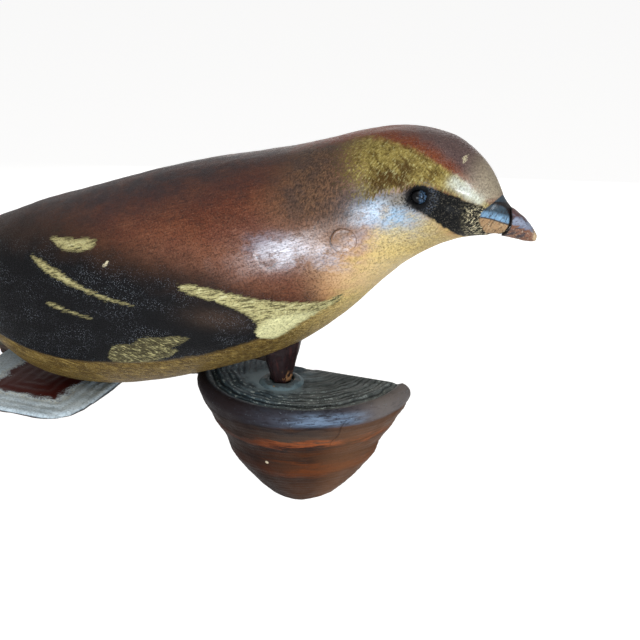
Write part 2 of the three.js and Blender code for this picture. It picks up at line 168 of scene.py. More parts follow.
def smooth_line(points, steps=6, closed=False):
    """Points along a smooth curve through the given ones."""
    knots = np.array(points, float)
    if closed:
        knots = np.vstack([knots[-1], knots, knots[:2]])
    else:
        knots = np.vstack([2 * knots[0] - knots[1], knots, 2 * knots[-1] - knots[-2]])
    line = []
    for before, start, end, after in zip(knots, knots[1:], knots[2:], knots[3:]):
        for t in np.arange(steps) / steps:
            bend = (2 * before - 5 * start + 4 * end - after) * t * t
            twist = (3 * start - before - 3 * end + after) * t ** 3
            line.append(start + ((end - before) * t + bend + twist) / 2)
    if not closed:
        line.append(knots[-2])
    return np.array(line)


def over(x, height, line):
    """How far points lie over a line that is given from low x to high x."""
    smooth = smooth_line(line)
    return height - np.interp(x, smooth[:, 0], smooth[:, 1])


def from_line(x, z, line):
    """Distance in mm to the straight parts of a line."""
    nearest = np.full(len(x), 1e6)
    for (ax, az), (bx, bz) in zip(line, line[1:]):
        run, rise = bx - ax, bz - az
        along = np.clip(((x - ax) * run + (z - az) * rise) / (run * run + rise * rise), 0, 1)
        nearest = np.minimum(nearest, np.hypot(x - ax - along * run, z - az - along * rise))
    return nearest


def from_curve(x, z, points):
    """Distance in mm to a smooth curve through the given points."""
    return from_line(x, z, smooth_line(points))


def inside(x, z, outline):
    """Distance in mm to a closed outline, positive inside it."""
    line = smooth_line(outline, 4, closed=True)
    line = np.vstack([line, line[:1]])
    within = np.zeros(len(x), bool)
    for (ax, az), (bx, bz) in zip(line, line[1:]):
        rise = bz - az if abs(bz - az) > 1e-9 else 1e-9
        within ^= ((az > z) != (bz > z)) & (x < ax + (bx - ax) * (z - az) / rise)
    distance = from_line(x, z, line)
    return np.where(within, distance, -distance)


def past_feathers(x, z):
    """How far points lie ahead of the line where the feathers end and the bill begins."""
    return x - np.interp(z, *np.array(FEATHER_LINE).T)


def from_seam(x, z):
    """Distance in mm to the round seam in the bill."""
    return np.abs(np.hypot(x - SEAM_MIDDLE[0], z - SEAM_MIDDLE[1]) - SEAM_RADIUS)


def step(value, low, high):
    """Rises smoothly from 0 at low to 1 at high."""
    t = np.clip((value - low) / (high - low), 0, 1)
    return t * t * (3 - 2 * t)


def between(value, low, full, fading, high):
    """Rises smoothly from low to full, stays 1 and falls from fading to high."""
    return step(value, low, full) * (1 - step(value, fading, high))


def bump_at(distance, width):
    """A rounded hump, 1 high at no distance and gone past about two widths."""
    return np.exp(-(distance / width) ** 2)


def patch(x, z, middle_x, middle_z, half, tall):
    """A soft patch on the flank, 1 high at its middle."""
    return bump_at(np.hypot((x - middle_x) / half, (z - middle_z) / tall), 1)


def wander(points, size, octaves=3, seed=0.0):
    """Smooth random heights from about -1 to 1, with features of that size in mm."""
    scaled = points / size + seed
    return np.array([noise.fractal(Vector(spot), 1.0, 2.0, octaves) for spot in scaled])


def node_shape(node):
    """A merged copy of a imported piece."""
    shape = bmesh.new()
    shape.from_mesh(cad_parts[node].data)
    bmesh.ops.remove_doubles(shape, verts=shape.verts, dist=0.005 * MM)
    return shape


def close_pocket(shape, centre, reach):
    """Takes away the faces within reach of a centre in mm and closes the skin over them."""
    centre = Vector(centre) * MM
    inner = [face for face in shape.faces if (face.calc_center_median() - centre).length < reach * MM]
    bmesh.ops.delete(shape, geom=inner, context="FACES")
    rim = [edge for edge in shape.edges if edge.is_boundary]
    bmesh.ops.holes_fill(shape, edges=rim)


def new_piece(shape, name):
    """The shape as an object of that name at the origin."""
    mesh = bpy.data.meshes.new(name)
    shape.to_mesh(mesh)
    shape.free()
    piece = bpy.data.objects.new(name, mesh)
    bpy.context.scene.collection.objects.link(piece)
    return piece


def even_skin(piece, size):
    """Gives the piece an even skin of quads of that size in mm."""
    remesh = piece.modifiers.new("even skin", "REMESH")
    remesh.mode = "VOXEL"
    remesh.voxel_size = size * MM
    graph = bpy.context.evaluated_depsgraph_get()
    mesh = bpy.data.meshes.new_from_object(piece.evaluated_get(graph))
    piece.modifiers.clear()
    piece.data = mesh
    mesh.name = piece.name


class Skin:
    """The points of a piece's mesh in mm, to carve them and to store what the paint follows."""

    def __init__(self, piece):
        self.mesh = piece.data
        self.points = np.empty((len(self.mesh.vertices), 3), np.float32)
        self.mesh.vertices.foreach_get("co", self.points.ravel())
        self.points = self.points.astype(float) / MM
        self.read_normals()

    def read_normals(self):
        """Which way the skin faces at each point."""
        normals = np.empty(self.points.size, np.float32)
        self.mesh.vertex_normals.foreach_get("vector", normals)
        self.normals = normals.reshape(-1, 3).astype(float)

    def averaged(self, values, times):
        """Values that are shared out among neighbouring points that many times."""
        ends = np.empty(len(self.mesh.edges) * 2, np.int32)
        self.mesh.edges.foreach_get("vertices", ends)
        first, second = ends[0::2], ends[1::2]
        count = len(values)
        degree = np.bincount(ends, minlength=count)
        for _ in range(times):
            shared = np.empty_like(values)
            for axis in range(values.shape[1]):
                column = values[:, axis]
                total = np.bincount(first, column[second], count) + np.bincount(second, column[first], count)
                shared[:, axis] = total / degree
            values = (values + shared) / 2
        return values

    def smooth(self, times, weight=1.0):
        """Rubs the facets away and keeps the form's size."""
        rubbed = self.averaged(self.points, times)
        kept = self.averaged(self.points - rubbed, times)
        share = np.broadcast_to(weight, len(self.points))[:, None]
        self.points += (rubbed + kept - self.points) * share
        self.write()

    def raise_by(self, height):
        """Moves the skin outwards by a height in mm at each point."""
        self.points += self.normals * height[:, None]
        self.write()

    def stay_in(self, low, high):
        """Keeps every point inside a box."""
        self.points = np.clip(self.points, low, high)
        self.write()

    def write(self):
        """Puts the points back into the mesh."""
        self.mesh.vertices.foreach_set("co", (self.points * MM).astype(np.float32).ravel())
        self.mesh.update()
        self.read_normals()

    def store(self, **guides):
        """Stores values at each point, which the paint reads by their names."""
        for name, values in guides.items():
            layer = self.mesh.attributes.new(name, "FLOAT", "POINT")
            layer.data.foreach_set("value", np.asarray(values, np.float32))


def detailed_copy(node, name, size, rubs):
    """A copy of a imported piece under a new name, with an even skin that is rubbed smooth."""
    piece = new_piece(node_shape(node), name)
    even_skin(piece, size)
    skin = Skin(piece)
    skin.smooth(rubs)
    return piece, skin


def srgb(red, green, blue):
    """A colour that is read off as 0 to 255, as the linear colour of a shader."""
    def linear(level):
        share = level / 255
        return share / 12.92 if share <= 0.04045 else ((share + 0.055) / 1.055) ** 2.4
    return (linear(red), linear(green), linear(blue), 1.0)


def feed(tree, node, inputs):
    """Joins a node's inputs to sockets of other nodes, or sets them to plain values."""
    for key, value in inputs.items():
        if isinstance(value, bpy.types.NodeSocket):
            tree.links.new(value, node.inputs[key])
        else:
            node.inputs[key].default_value = value


def add_node(tree, kind, inputs, output=0, **settings):
    """Adds a node, feeds its inputs and gives one of its outputs."""
    made = tree.nodes.new(kind)
    for name, value in settings.items():
        setattr(made, name, value)
    feed(tree, made, inputs)
    return made.outputs[output]


class Finish:
    """A material that is laid on coat by coat, with its patterns on Object coordinates.

    Colours are (red, green, blue) from 0 to 255. A share can be a number, a socket, the name of what the skin
    stores, or a tuple of one of these and the limits that rise() takes.
    """

    def __init__(self, name, colour, roughness, specular):
        self.material = bpy.data.materials.new(name)
        self.material.use_nodes = True
        self.tree = self.material.node_tree
        self.shader = self.tree.nodes["Principled BSDF"]
        feed(self.tree, self.shader, {"Specular IOR Level": specular})
        self.place = self.tree.nodes.new("ShaderNodeTexCoord").outputs["Object"]
        self.colour = colour
        self.roughness = roughness
        self.height = None

    def node(self, kind, inputs, output=0, **settings):
        """Adds a node to this material and gives one of its outputs."""
        return add_node(self.tree, kind, inputs, output, **settings)

    def spot(self, size, turn=0):
        """Object coordinates, turned about Y in degrees, then scaled so that one unit is that size in mm."""
        sizes = (size,) * 3 if isinstance(size, (int, float)) else size
        turned = self.place
        if turn:
            rotation = (0, math.radians(turn), 0)
            turned = self.node("ShaderNodeMapping", {"Vector": turned, "Rotation": rotation})
        scale = tuple(1 / (axis * MM) for axis in sizes)
        return self.node("ShaderNodeMapping", {"Vector": turned, "Scale": scale})

    def along(self, axis):
        """The place along an axis, in mm."""
        return self.node("ShaderNodeSeparateXYZ", {"Vector": self.spot(1)}, axis)

    def noise(self, size, detail=4.0, rough=0.7, turn=0, offset=0.0):
        """Cloudy noise from 0 to 1 with patches of that size in mm."""
        inputs = {"Vector": self.spot(size, turn), "Scale": 1.0, "Detail": detail, "Roughness": rough}
        if not offset:
            return self.node("ShaderNodeTexNoise", inputs)
        inputs["W"] = offset
        return self.node("ShaderNodeTexNoise", inputs, noise_dimensions="4D")

    def grains(self, size):
        """Distance from the nearest of many scattered grains, in shares of that size."""
        return self.node("ShaderNodeTexVoronoi", {"Vector": self.spot(size), "Scale": 1.0})

    def read(self, share):
        """The number or socket that a share stands for."""
        if isinstance(share, str):
            return self.node("ShaderNodeAttribute", {}, "Fac", attribute_name=share)
        if isinstance(share, tuple):
            return self.rise(*share)
        return share

    def sum(self, operation, *values):
        """One arithmetic step on shares."""
        inputs = {place: self.read(value) for place, value in enumerate(values)}
        return self.node("ShaderNodeMath", inputs, operation=operation)

    def rise(self, value, low, high, bottom=0.0, top=1.0):
        """Goes smoothly from bottom to top as the value goes from low to high."""
        limits = {"From Min": low, "From Max": high, "To Min": bottom, "To Max": top}
        inputs = {"Value": self.read(value), **limits}
        return self.node("ShaderNodeMapRange", inputs, interpolation_type="SMOOTHSTEP")

    def both(self, first, *others):
        """Where every one of the shares is."""
        result = self.read(first)
        for share in others:
            result = self.sum("MULTIPLY", result, share)
        return result

    def edge(self, name, soft, ragged, size, shift=0.0):
        """1 inside a stored outline and 0 outside, over a soft and ragged edge in mm."""
        rough = self.sum("MULTIPLY_ADD", self.noise(size, 2.0, 0.55), 2 * ragged, -ragged)
        return self.rise(self.sum("ADD", name, rough), shift - soft / 2, shift + soft / 2)

    def blend(self, share, *colours):
        """A mix of two colours."""
        first, second = [srgb(*colour) if isinstance(colour, tuple) else colour for colour in colours]
        inputs = {0: self.read(share), 6: first, 7: second}
        return self.node("ShaderNodeMix", inputs, 2, data_type="RGBA")

    def coat(self, colour, *shares):
        """Lays a colour over what is there, where every one of the shares is."""
        self.colour = self.blend(self.both(*shares), self.colour, colour)

    def press(self, height, depth):
        """Adds a fine relief, where 1 is that depth in mm."""
        part = self.sum("MULTIPLY", height, depth)
        self.height = part if self.height is None else self.sum("ADD", self.height, part)

    def wear(self, value):
        """Adds to the roughness."""
        self.roughness = self.sum("ADD", self.roughness, value)

    def varnish(self, share, roughness, gloss):
        """A clear varnish on top, where the share is 1."""
        coat = {"Coat Weight": share, "Coat Roughness": roughness, "Coat IOR": gloss}
        feed(self.tree, self.shader, coat)

    def done(self):
        """Joins the coats to the shader and gives the material."""
        ends = {"Base Color": self.colour, "Roughness": self.roughness}
        if self.height is not None:
            relief = {"Height": self.height, "Distance": MM, "Strength": 1.0}
            ends["Normal"] = self.node("ShaderNodeBump", relief)
        feed(self.tree, self.shader, ends)
        return self.material


def dress(piece, material):
    """Gives a new piece its material and ties it to the body."""
    piece.data.materials.clear()
    piece.data.materials.append(material)
    for face in piece.data.polygons:
        face.use_smooth = True
    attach(piece, "root")


# Bird


def bird_guides(skin):
    """Stores how far each point lies from the painted outlines."""
    x, y, z = skin.points.T
    far_side = 30 * step(y, bird_middle - 1, bird_middle + 1)
    wing_edge = over(x, z, WING_EDGE)
    breast = np.minimum(-over(x, z, BREAST_TOP) / 6, 2) - 6 * (1 - step(x, 57, 86))
    brow = over(x, z, BROW_EDGE)
    mask = np.minimum(-brow, over(x, z, MASK_EDGE))
    mask_end = 99.8 + 0.5 * np.abs(z - 75.4)
    skin.store(
        wing_edge=wing_edge,
        wing_top=-over(x, z, WING_TOP),
        under=np.clip(np.maximum(-wing_edge / 0.6, breast), -3, 3),
        crown=over(x, z, CROWN_EDGE) - 30 * (1 - step(x, 50, 62)),
        brow=brow,
        mask=np.where(x < mask_end, np.minimum(mask, 0) - (mask_end - x), mask),
        bill=past_feathers(x, z),
        bill_upper=over(x, z, BILL_MIDDLE),
        seam=from_seam(x, z),
        marks=np.max([inside(x, z, outline) for outline in MARKS], axis=0),
        mark_lobe=inside(x, z, MARK_LOBE),
        eye=np.hypot(x - eye_centre[0], z - eye_centre[2]),
        plug=np.hypot(x - plug_face[0], z - plug_face[2]) + far_side,
        lines=np.minimum(from_curve(x, z, KNOT), from_curve(x, z, HAIRLINE)) + far_side,
        flakes=np.min([from_curve(x, z, flake) for flake in FLAKES], axis=0) + far_side,
        polished=np.max([share * patch(x, z, *place) for *place, share in POLISH_AND_SHEEN], axis=0),
        pale_brow=bump_at(from_curve(x, z, BROW_SHEEN), 1.5),
        **{name: patch(x, z, *place) for name, place in PATCHES.items()},
    )


def bird_relief(skin):
    """Carved forms of the bird, as a height in mm at each point."""
    x, y, z = skin.points.T
    on_side = step(np.abs(y - bird_middle), 1, 4)
    near_side = on_side * (y < bird_middle)

    wing_edge = over(x, z, WING_EDGE)
    on_wing = between(x, bird_low[0] + 2, -60, 72, 82) * on_side
    height = 0.28 * on_wing * (between(wing_edge, -0.7, 0.7, 1, 9) - 0.5 * bump_at(wing_edge + 0.5, 1.0))
    height -= 0.35 * bump_at(wing_edge - 1, 1.3) * between(x, 56, 62, 80, 86) * on_side

    brow = over(x, z, BROW_EDGE)
    ahead = between(x, 95, 101, 117, 121) * on_side
    height += ahead * (0.45 * bump_at(brow - 1.6, 2.0) - 0.75 * bump_at(brow + 2.6, 2.6))
    crown = over(x, z, CROWN_EDGE)
    height += 0.14 * between(x, 76, 90, 116, 120) * on_side * between(crown, -0.5, 0.6, 1, 5)
    eye = np.hypot(x - eye_centre[0] + 0.3, (z - eye_centre[2] + 0.4) * 1.25)
    height -= 1.5 * bump_at(eye, 2.6) * on_side
    height += 0.25 * bump_at(eye - 4.2, 0.9) * on_side

    bill = past_feathers(x, z)
    height -= 0.35 * between(bill, -0.5, 0.5, 2, 6) * step(x, 110, 116)
    upper = over(x, z, BILL_MIDDLE)
    gape = 0.25 * bump_at(upper - 0.6, 0.7) - 0.3 * bump_at(upper + 0.5, 0.8)
    height += step(bill, 0, 1.5) * on_side * gape

    height += 0.16 * wander(skin.points, 13, 2) + 0.05 * wander(skin.points, 3.2, 2, 5.0)
    height -= 0.5 * bump_at(np.hypot(x - PIT[0], z - PIT[1]), 0.7) * near_side
    height -= 0.1 * bump_at(from_curve(x, z, KNOT), 0.6) * near_side
    return height


class BirdPaintAndLight(Finish):
    """Oil paint in red-brown, black, olive and maroon under a worn satin varnish, with painted sheens and
    painted shade laid into the colour.
    """

    def __init__(self):
        super().__init__("bird paint and painted light", (96, 50, 34), 0.45, 0.06)
        self.across = self.along("X")
        self.up = self.along("Z")
        self.blotch = self.noise((6, 5, 4), offset=5.0)
        self.fine = self.noise(0.42, 3.0)
        self.pores = self.rise(self.noise(0.55, rough=0.8, offset=6.0), 0.5, 0.62)
        self.light_pores = self.rise(self.noise(0.5, rough=0.8, offset=7.0), 0.52, 0.64)
        self.hairs = self.noise((4.5, 0.6, 0.45), rough=0.75, turn=20, offset=9.0)
        self.upright = self.noise((0.5, 0.5, 3.6), turn=-8)
        self.slant = self.noise((3.2, 0.9, 0.5), turn=-24, offset=1.0)
        self.crossing = self.noise((3, 0.7, 0.5), rough=0.75, turn=62, offset=11.0)
        self.brush = self.noise((3.6, 1.0, 0.55), rough=0.75, turn=14, offset=3.0)
        self.back()
        self.nape()
        self.wing()
        self.breast()
        self.cheek()
        self.brow()
        self.crown()
        self.face()
        self.bill()
        self.marks()
        self.blemishes()
        self.polish()

    def back(self):
        """Red-brown with dark and light hairs, dark along the top of the back, and painted shade above the
        wing.
        """
        self.coat((116, 69, 46), (self.noise((24, 15, 15), rough=0.55), 0.34, 0.6, 0.1, 0.9))
        self.coat((66, 45, 38), (self.blotch, 0.5, 0.72, 0, 0.45))
        self.coat((44, 30, 28), (self.hairs, 0.5, 0.66, 0, 0.55))
        self.coat((148, 98, 72), (self.hairs, 0.46, 0.32, 0, 0.35))
        self.coat((36, 28, 27), self.pores, 0.45)
        self.coat((158, 118, 94), self.light_pores, 0.3)
        top_line = self.sum("MULTIPLY_ADD", self.across, -0.34, self.up)
        self.coat((48, 42, 45), (top_line, 49, 65), (self.blotch, 0.3, 0.62, 0.6, 0.95))
        # Painted shade on the flank just above the wing, strongest towards the tail.
        self.coat((44, 33, 25), ("wing_top", -13, 1), (self.across, 74, 40), 0.85)

    def nape(self):
        """Grey-brown in fine upright strokes."""
        nape = self.both((self.across, 54, 72), (self.across, 104, 88), (self.up, 60, 74))
        self.coat((108, 82, 62), nape, 0.8)
        self.coat((50, 48, 54), nape, (self.blotch, 0.42, 0.66, 0, 0.6))
        self.coat((44, 36, 32), nape, (self.upright, 0.47, 0.58, 0, 0.7))
        self.coat((148, 120, 88), nape, (self.upright, 0.42, 0.3, 0, 0.5))

    def wing(self):
        """Black with one worn patch and a pale dust."""
        self.black = self.both(self.edge("wing_edge", 0.9, 0.4, 1.4), self.edge("wing_top", 13, 4, 7, -0.5))
        self.coat((8, 8, 10), self.black)
        self.coat((64, 49, 40), "worn_patch", (self.slant, 0.3, 0.6, 0.4, 0.9))
        dusty = (self.noise((13, 9, 6), 3.0, 0.55, offset=2.0), 0.38, 0.6, 0.03, 1)
        self.coat((168, 174, 184), self.black, (self.grains(0.42), 0.26, 0.1), dusty, 0.7)

    def breast(self):
        """Amber and gold under the wing and up to the throat, with a brushed grain."""
        ragged = self.sum("ADD", (self.fine, 0.2, 0.8, -0.3, 0.3), (self.blotch, 0.3, 0.7, -0.7, 0.7))
        edge = self.sum("ADD", "under", ragged)
        self.coat((184, 130, 82), (edge, -2.9, 0), (self.across, 62, 78), 0.85)
        under = self.rise(edge, -1.4, 1.2)
        self.coat(self.blend((self.across, 60, 90), (108, 86, 42), (220, 190, 120)), under)
        self.coat((152, 126, 66), under, (self.across, 92, 108), (self.blotch, 0.3, 0.6, 0.95, 0.5))
        grain = self.noise((8, 1.2, 0.8), rough=0.75, turn=-14, offset=12.0)
        self.coat((58, 40, 18), under, (grain, 0.46, 0.56, 0, 0.8), (self.across, 92, 56, 0.25, 1))
        self.coat((84, 60, 28), under, self.pores, 0.5)
        self.coat((214, 184, 108), under, (grain, 0.44, 0.3, 0, 0.6))
        self.coat((232, 214, 150), under, self.light_pores, (self.across, 58, 84, 0.25, 0.8))

    def cheek(self):
        """Painted highlights, a pale sheen at the front of the shoulder and a blue-white sheen on the cheek,
        and grey-brown paint behind the eye.
        """
        # Painted highlight at the front of the shoulder.
        glow = self.both("glow", (self.blotch, 0.66, 0.42, 0.5, 1), ("wing_top", 1, -1.5))
        self.coat((214, 176, 130), glow, (self.pores, 0, 1, 0.8, 0.3))
        # Painted highlight: a blue-white sheen over a dark ground on the cheek.
        cheek = self.both("cheek", (self.blotch, 0.66, 0.42, 0.45, 1))
        self.coat((58, 50, 44), cheek, (self.pores, 0, 1, 0.3, 0.8))
        self.coat((150, 194, 228), cheek, (self.hairs, 0.62, 0.42, 0.55, 0.95))
        by_eye = self.both("by_eye", (self.blotch, 0.6, 0.4, 0.6, 1))
        self.coat((116, 104, 84), by_eye, 0.95)
        self.coat((34, 30, 28), by_eye, self.pores)

    def brow(self):
        """Olive yellow with leaning and crossing strokes."""
        rear = self.sum("MULTIPLY_ADD", self.up, 0.75, self.across)
        rear = self.sum("ADD", rear, (self.upright, 0.25, 0.75, -6, 6))
        edge = self.sum("ADD", "brow", (self.upright, 0.25, 0.75, -1.5, 1.5))
        brow = self.both((edge, -1.2, 1.2), (rear, 141, 153))
        self.coat((156, 138, 74), brow, 0.95)
        lean = self.noise((7, 1.6, 1.6), rough=0.6, turn=-50)
        self.coat((74, 50, 12), brow, (lean, 0.46, 0.66, 0, 0.75))
        middle = self.both((self.across, 86, 91), (self.across, 106, 98), ("brow", 9, 5))
        self.coat((70, 46, 14), brow, middle, (lean, 0.34, 0.52, 0.25, 0.9))
        self.coat((52, 42, 22), brow, (self.crossing, 0.48, 0.66, 0, 0.7))
        self.coat((208, 204, 148), brow, (self.crossing, 0.48, 0.3, 0, 0.65))

    def crown(self):
        """Maroon cap with a red rim, worn pale on the forehead, and a painted sheen on the brow towards the
        bill.
        """
        crown = self.edge("crown", 1.6, 0.9, 2)
        self.coat((120, 56, 38), crown, 0.92)
        self.coat((100, 80, 78), self.edge("crown", 2.4, 1.2, 4, 2.1))
        self.coat((44, 32, 34), crown, self.pores, 0.5)
        self.coat((152, 128, 118), crown, self.light_pores, 0.5)
        forehead = self.both((self.across, 112, 119.5), (self.up, 73, 76), (self.fine, 0.3, 0.6, 0.5, 0.95))
        self.coat((184, 170, 144), forehead)
        self.coat((70, 52, 48), forehead, self.pores, 0.6)
        # Painted highlight on the brow towards the bill.
        self.coat((226, 230, 214), "pale_brow", (self.crossing, 0.6, 0.42, 0.4, 0.9))

    def face(self):
        """Black mask with worn specks, chips at the bill and a dark socket round the eye."""
        self.masked = self.edge("mask", 1.2, 1.2, 1.4)
        self.coat((10, 10, 11), self.masked)
        specks = (self.noise(0.5, rough=0.85, offset=14.0), 0.54, 0.64)
        self.coat((112, 106, 92), self.masked, specks, 0.75)
        chips = (self.noise((0.8, 0.8, 0.6), rough=0.85), 0.5, 0.6)
        self.coat((222, 208, 168), chips, (self.across, 112.6, 116), (self.up, 75, 72), 0.9)
        ahead = (self.across, eye_centre[0] - 1, eye_centre[0] + 3)
        self.coat((84, 90, 102), ("eye", 6, 4.6), ahead, (self.fine, 0.48, 0.62, 0, 0.7))
        socket = self.sum("ADD", "eye", (self.crossing, 0.3, 0.7, -0.8, 0.8))
        self.coat((8, 8, 10), (socket, 4, 3), 0.92)

    def bill(self):
        """Blue-grey above the gape with a painted pale blue sheen just over the gape, brown below it, dark
        along the gape and the seam.
        """
        bill = self.edge("bill", 0.5, 0.2, 1)
        # Painted highlight: a pale blue sheen on the upper bill just over the gape.
        blue = self.blend(("bill_upper", 2.7, 1.2), (58, 72, 82), (124, 158, 186))
        self.coat(self.blend(("bill_upper", -0.3, 0.4), (168, 134, 98), blue), bill)
        self.coat((38, 32, 34), bill, (self.sum("ABSOLUTE", "bill_upper"), 0.45, 0.1), 0.8)
        self.coat((24, 20, 20), bill, ("seam", 0.6, 0.2))
        self.coat((52, 38, 30), bill, (self.crossing, 0.5, 0.62, 0, 0.7))
        self.coat((214, 196, 160), bill, self.light_pores, ("bill_upper", 0.5, -0.5), 0.6)

    def marks(self):
        """Pale yellow marks on the wing, brushed on nearly dry."""
        edge = self.sum("ADD", "marks", (self.brush, 0.25, 0.75, -0.8, 0.8))
        self.marked = self.rise(edge, -0.25, 0.3)
        self.coat((182, 172, 120), self.marked)
        self.coat((62, 54, 34), self.marked, (self.brush, 0.48, 0.58, 0, 0.85))
        self.coat((218, 214, 170), self.marked, (self.brush, 0.45, 0.34, 0, 0.8))
        rubbed = self.both((self.across, 42, 36), (self.up, 34, 30))
        self.coat((46, 40, 26), self.marked, rubbed, (self.slant, 0.4, 0.5, 0, 0.9))
        self.coat((234, 228, 172), self.marked, self.edge("mark_lobe", 2.5, 0.6, 1.2), 0.7)
        self.coat((64, 54, 38), self.marked, self.pores, 0.4)

    def blemishes(self):
        """The plug's ring, the knot, the hairline crack and the flaked spots."""
        ring = self.sum("ABSOLUTE", self.sum("SUBTRACT", "plug", PLUG_RING))
        left_arc = (self.across, plug_face[0] - 0.5, plug_face[0] - 3, 0, 0.85)
        self.coat((30, 26, 28), (ring, 0.4, 0.1), left_arc, (self.fine, 0.35, 0.6, 0.2, 0.9))
        self.coat((28, 22, 24), ("lines", 0.4, 0.05, 0, 0.8), (self.fine, 0.3, 0.55, 0.3, 1))
        flaked = self.sum("ADD", "flakes", (self.fine, 0.2, 0.8, -0.4, 0.4))
        self.coat((214, 202, 168), (flaked, 0.45, 0.25, 0, 0.9))

    def polish(self):
        """A worn varnish that handling has rubbed glossy, with a pale painted sheen where it shines most."""
        dull = self.sum("MAXIMUM", self.sum("MAXIMUM", self.marked, self.masked), self.black)
        clean = self.sum("SUBTRACT", 1.0, dull)
        shine = self.both("polished", (self.blotch, 0.68, 0.42, 0.45, 1), clean)
        # Painted highlight: a pale blue-white sheen laid into the colour where the varnish shines most.
        self.coat((176, 186, 208), (shine, 0.35, 0.95, 0, 0.42), (self.hairs, 0.6, 0.4, 0.5, 1))
        shine = self.both(shine, (self.pores, 0, 1, 1, 0.25), (self.hairs, 0.62, 0.42, 0.45, 1))
        self.varnish(self.sum("ADD", shine, 0.02), 0.26, 1.9)
        self.wear((self.fine, 0.3, 0.75, -0.06, 0.16))
        self.press(self.fine, 0.05)
        self.press(self.pores, -0.09)
        self.press((self.hairs, 0.3, 0.7), 0.07)
        self.press(self.noise(2.6, 3.0, 0.55), 0.12)
        self.press(self.both(self.marked, self.brush), 0.08)


def make_bird(material):
    """The body with its head and folded wings, from one block."""
    shape = node_shape("bird_body")
    for way in (-1, 1):
        socket = (eye_centre[0], bird_middle + way * eye_side, eye_centre[2])
        close_pocket(shape, socket, SOCKET_REACH)
    close_pocket(shape, plug_centre, PLUG_REACH)
    bird = new_piece(shape, "carved_bird")
    even_skin(bird, 0.7)
    skin = Skin(bird)
    x, y, z = skin.points.T
    from_plug = np.hypot(x - plug_face[0], z - plug_face[2])
    near_plug = (1 - step(from_plug, 4, 5.5)) * (y < bird_middle)
    at_seam = step(x, bird_high[0] - 5, bird_high[0] - 2.5)
    skin.smooth(36, 1 - 0.85 * at_seam)
    skin.smooth(2)
    skin.raise_by(bird_relief(skin) * (1 - 0.7 * near_plug) * (1 - 0.8 * at_seam))
    skin.stay_in(bird_low, bird_high)
    bird_guides(skin)
    dress(bird, material)
    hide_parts("bird_body")


def bill_paint_and_sheen():
    """Blue-grey over brown on the bill, with a painted highlight streak, worn to the wood at its tip."""
    paint = Finish("bill paint and painted sheen", (108, 70, 50), 0.32, 0.3)
    fine = paint.noise(0.5)
    streak = paint.noise((4, 0.8, 0.8), rough=0.6, turn=25)
    ragged = paint.sum("ADD", "bill_upper", (streak, 0.2, 0.8, -0.9, 0.9))
    paint.coat((52, 36, 30), (streak, 0.48, 0.6, 0, 0.85))
    paint.coat((190, 170, 146), (fine, 0.54, 0.66, 0, 0.6), ("bill_upper", 0.5, -0.5))
    paint.coat((106, 112, 130), (ragged, 0.1, 0.9))
    # Painted highlight: a pale blue streak along the middle of the tip.
    paint.coat((150, 158, 176), (ragged, 0.7, 1.4), (ragged, 2.4, 1.6), 0.55)
    paint.coat((86, 58, 56), (ragged, 2.1, 3.1))
    paint.coat((46, 40, 48), (streak, 0.52, 0.64, 0, 0.6))
    chipped = paint.sum("ADD", "bill_end", (fine, 0.2, 0.8, -0.6, 0.6))
    paint.coat((176, 150, 116), (chipped, 1.3, 0.6))
    paint.coat((26, 21, 21), ("seam", 0.75, 0.4))
    paint.wear((fine, 0.3, 0.7, -0.05, 0.2))
    paint.press(fine, 0.08)
    paint.press(streak, 0.14)
    return paint.done()


def make_bill_tip(material):
    """The outer bill, glued on past the seam."""
    tip = new_piece(node_shape("bill_tip"), "bill_end")
    even_skin(tip, 0.2)
    skin = Skin(tip)
    low, high = corners("bill_tip")
    at_seam = 1 - step(skin.points[:, 0], low[0] + 3, low[0] + 4.4)
    skin.smooth(16, 1 - 0.9 * at_seam)
    skin.smooth(2)
    x, y, z = skin.points.T
    upper = over(x, z, BILL_MIDDLE)
    side = step(np.abs(y - bird_middle), 0.5, 1.5)
    fade = 1 - step(x, high[0] - 3, high[0] - 1)
    height = side * fade * (0.16 * bump_at(upper - 0.6, 0.6) - 0.24 * bump_at(upper + 0.4, 0.5))
    inward = np.array(SEAM_MIDDLE) - skin.points[:, [0, 2]]
    away = np.hypot(*inward.T)
    facing = (inward * skin.normals[:, [0, 2]]).sum(axis=1) / away
    height += 0.22 * step(facing, 0.5, 0.8) * (1 - step(away, SEAM_RADIUS + 1, SEAM_RADIUS + 2))
    near_seam = 1 - step(away, SEAM_RADIUS + 0.3, SEAM_RADIUS + 3)
    height += 0.15 * near_seam * (1 - step(facing, 0.2, 0.5))
    skin.raise_by(height + 0.05 * wander(skin.points, 1.6, 2))
    skin.stay_in(low, high)
    x, y, z = skin.points.T
    skin.store(bill_upper=over(x, z, BILL_MIDDLE), bill_end=high[0] - x, seam=from_seam(x, z))
    dress(tip, material)
    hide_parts("bill_tip")


def make_plug(material):
    """The round plug in the shoulder, painted over with the body."""
    plug, skin = detailed_copy("shoulder_plug", "plug_in_shoulder", 0.3, 4)
    skin.points = plug_centre + (skin.points - plug_centre) * FILLS_HOLE
    skin.write()
    skin.raise_by(0.07 * wander(skin.points, 2.4, 2, 3.0))
    bird_guides(skin)
    dress(plug, material)
    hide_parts("shoulder_plug")


def bead_and_highlight():
    """Black glass-like bead with a thin haze of dust and a painted blue highlight on its front."""
    bead = Finish("black bead and painted highlight", (4, 4, 6), 0.1, 0.12)
    haze = bead.noise(0.5)
    bead.coat((50, 60, 76), (haze, 0.62, 0.74, 0, 0.3))
    # Painted highlight: a blue sheen on the front of the bead.
    ahead = (bead.along("X"), eye_centre[0] + 0.2, eye_centre[0] + 1.4)
    bead.coat((84, 112, 142), ahead, (haze, 0.44, 0.6, 0, 0.75))
    bead.wear((haze, 0.42, 0.7, 0, 0.22))
    return bead.done()


